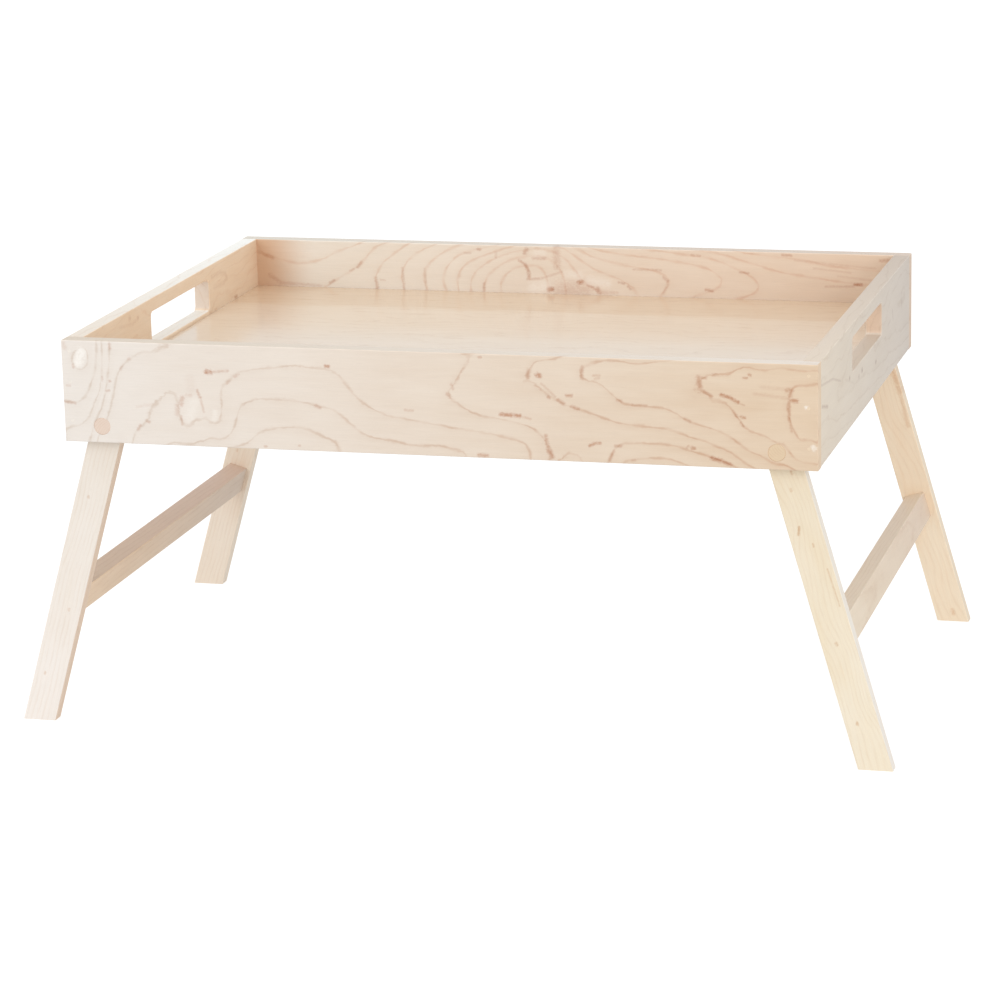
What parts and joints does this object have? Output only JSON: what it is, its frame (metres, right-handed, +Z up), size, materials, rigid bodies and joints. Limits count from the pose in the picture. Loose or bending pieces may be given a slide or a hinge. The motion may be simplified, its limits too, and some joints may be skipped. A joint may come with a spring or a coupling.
{
  "type": "bed tray table",
  "caption": "Wooden bed tray table with a raised rim, hand holes in its ends and splayed leg frames that fold flat under the floor.",
  "frame": {"origin": "middle of the footprint, on the surface that the opened legs' feet stand on", "axes": "+X along the tray's length to the right, +Y to the back, +Z up"},
  "size_m": [0.6628, 0.424, 0.2972],
  "materials": {
    "wall_maple": "satin",
    "floor_veneer": "satin",
    "leg_maple": "satin",
    "stretcher_maple": "satin",
    "dowel_wood": "satin",
    "peg_wood": "satin",
    "brad_steel": "satin"
  },
  "bodies": {
    "tray": {"front_wall": "wall_maple", "back_wall": "wall_maple", "left_end_wall": "wall_maple", "right_end_wall": "wall_maple", "floor_panel": "floor_veneer", "front_left_pivot_dowel": "dowel_wood", "back_left_pivot_dowel": "dowel_wood", "front_right_pivot_dowel": "dowel_wood", "back_right_pivot_dowel": "dowel_wood", "front_left_corner_brads": "brad_steel", "back_left_corner_brads": "brad_steel", "front_right_corner_brads": "brad_steel", "back_right_corner_brads": "brad_steel"},
    "left_legs": {"front_left_leg": "leg_maple", "back_left_leg": "leg_maple", "left_stretcher": "stretcher_maple", "front_left_stretcher_pegs": "peg_wood", "back_left_stretcher_pegs": "peg_wood"},
    "right_legs": {"front_right_leg": "leg_maple", "back_right_leg": "leg_maple", "right_stretcher": "stretcher_maple", "front_right_stretcher_pegs": "peg_wood", "back_right_stretcher_pegs": "peg_wood"}
  },
  "joints": [
    {"name": "left_legs_fold", "type": "hinge", "parent": "tray", "child": "left_legs", "pos_m": [-0.25087, 0, 0.2335], "axis": [0, -1, 0], "range_deg": [0, 107.65]},
    {"name": "right_legs_fold", "type": "hinge", "parent": "tray", "child": "right_legs", "pos_m": [0.25087, 0, 0.2335], "axis": [0, 1, 0], "range_deg": [0, 107.65]}
  ]
}
